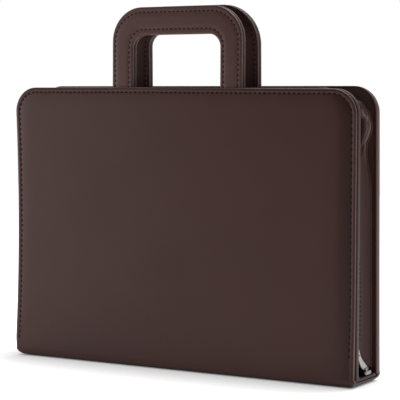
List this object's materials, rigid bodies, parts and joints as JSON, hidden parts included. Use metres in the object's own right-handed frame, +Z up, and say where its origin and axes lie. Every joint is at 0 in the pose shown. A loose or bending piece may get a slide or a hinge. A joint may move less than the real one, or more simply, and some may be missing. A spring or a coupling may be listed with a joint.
{
  "type": "zip-round document case",
  "caption": "Slim zip-round leather document case standing on its spine, with padded covers, a folded gusset, a zip with slider and puller, and stiff handles that slide into the covers.",
  "frame": {"origin": "middle of the base that the case stands on", "axes": "+X to the right along the width, -Y out of the front cover, +Z up"},
  "size_m": [0.358, 0.0544, 0.3305],
  "materials": {
    "cover_leather": "smooth dark brown, soft sheen, fine grain",
    "lining_leather": "smooth dark brown, soft sheen",
    "gusset_leather": "smooth dark brown, soft folds",
    "handle_leather": "smooth dark brown, soft sheen, stitched edges",
    "zip_tape": "woven, dark brown",
    "zip_teeth": "moulded coil, brown",
    "zip_metal": "plain bright metal, lightly worn"
  },
  "bodies": {
    "case": {"outer_cover": "cover_leather", "inner_lining": "lining_leather", "gusset_strip": "gusset_leather", "zip_tape": "zip_tape", "zip_teeth": "zip_teeth", "zip_slider": "zip_metal"},
    "front_handle": {"handle_front_outer": "handle_leather", "handle_front_inner": "handle_leather"},
    "back_handle": {"handle_back_outer": "handle_leather", "handle_back_inner": "handle_leather"},
    "puller": {"zip_puller": "zip_metal"}
  },
  "joints": [
    {"name": "handle_front_slide", "type": "slide", "parent": "case", "child": "front_handle", "axis": [0, 0.0105, 0.9999], "range_m": [-0.047, 0]},
    {"name": "handle_back_slide", "type": "slide", "parent": "case", "child": "back_handle", "axis": [0, -0.0105, 0.9999], "range_m": [-0.047, 0]},
    {"name": "puller_swing", "type": "hinge", "parent": "case", "child": "puller", "pos_m": [0.1756, 0.0039, 0.0129], "axis": [0, 1, 0], "range_deg": [0, 80]}
  ]
}
